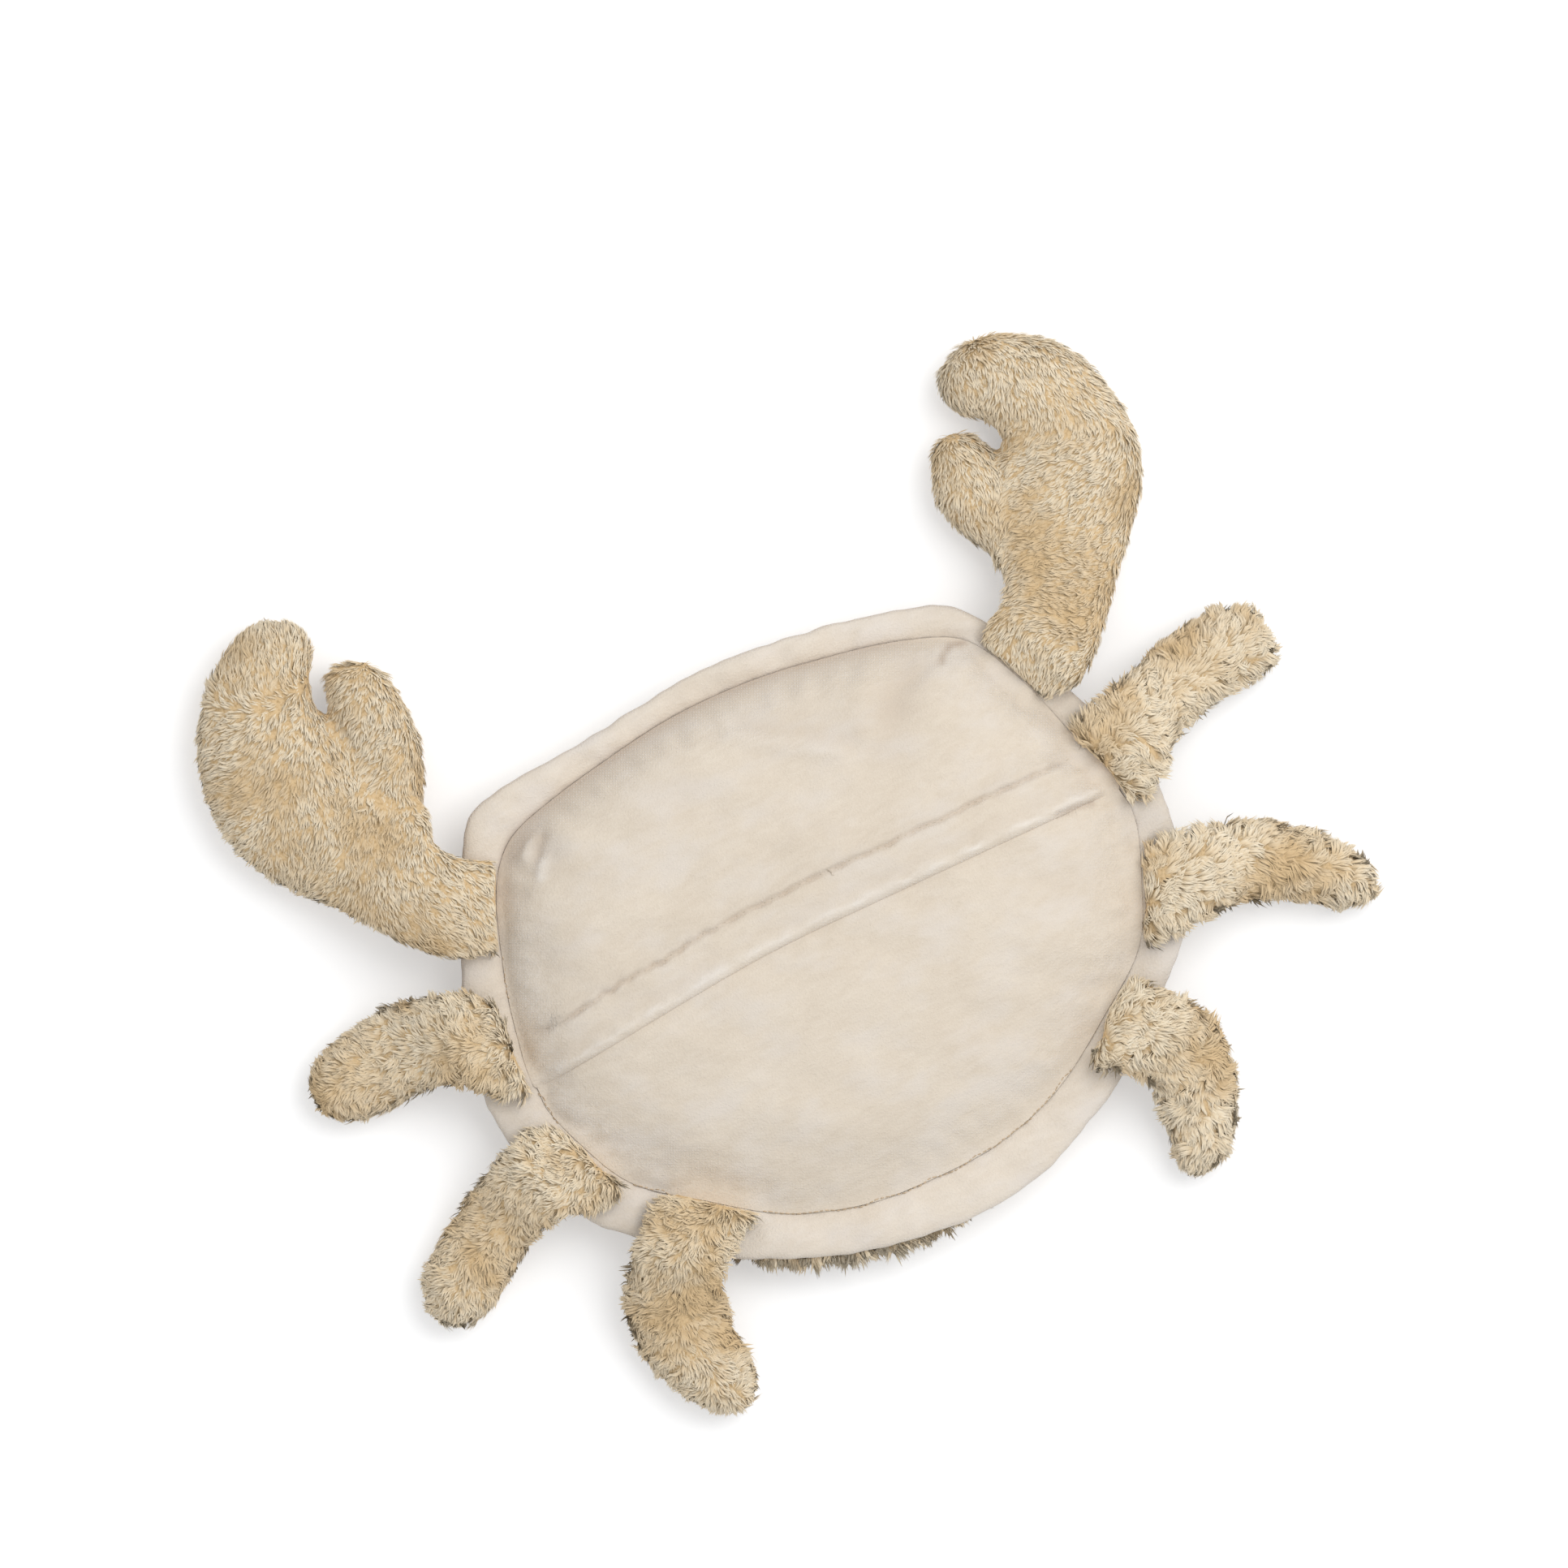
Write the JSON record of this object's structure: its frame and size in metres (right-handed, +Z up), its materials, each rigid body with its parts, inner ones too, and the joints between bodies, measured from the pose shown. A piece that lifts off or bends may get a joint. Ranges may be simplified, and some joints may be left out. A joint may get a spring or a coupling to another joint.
{
  "type": "stuffed crab heat pillow",
  "caption": "Crab-shaped plush heat pillow lying on its shell, with a velour pouch that closes over a bag of cherry stones, two stuffed claws and curved stuffed legs.",
  "frame": {"origin": "a point on the flat patch under the shell, on the floor that it rests on, between the two front legs", "axes": "+Z up, out of the belly; +Y to the crab's front, where the claws are; +X to the crab's side that is on the right in the picture"},
  "size_m": [0.3563, 0.3062, 0.0464],
  "materials": {
    "plush": "tan long-pile plush in soft clumps, matt",
    "rim_velour": "cream short-pile velour, matt",
    "belly_velour": "cream short-pile velour with soft nap marks, matt",
    "closure_tape": "cream hook and loop tape, matt",
    "cotton": "plain unbleached cotton, matt",
    "wool": "loose wool stuffing, matt",
    "eye_thread": "dark satin-stitched thread"
  },
  "bodies": {
    "root": {"shell_cover": "plush", "rim_facing": "rim_velour", "belly_front_panel": "belly_velour", "belly_rear_panel": "belly_velour", "hook_tape": "closure_tape", "loop_tape": "closure_tape", "heat_pillow": "cotton", "pocket_lining": "cotton", "shell_filling": "wool", "claw_left": "plush", "claw_right": "plush", "leg_left_front": "plush", "leg_left_middle": "plush", "leg_left_rear": "plush", "leg_right_front": "plush", "leg_right_middle": "plush", "leg_right_rear": "plush", "eye_left": "eye_thread", "eye_right": "eye_thread"}
  },
  "joints": []
}
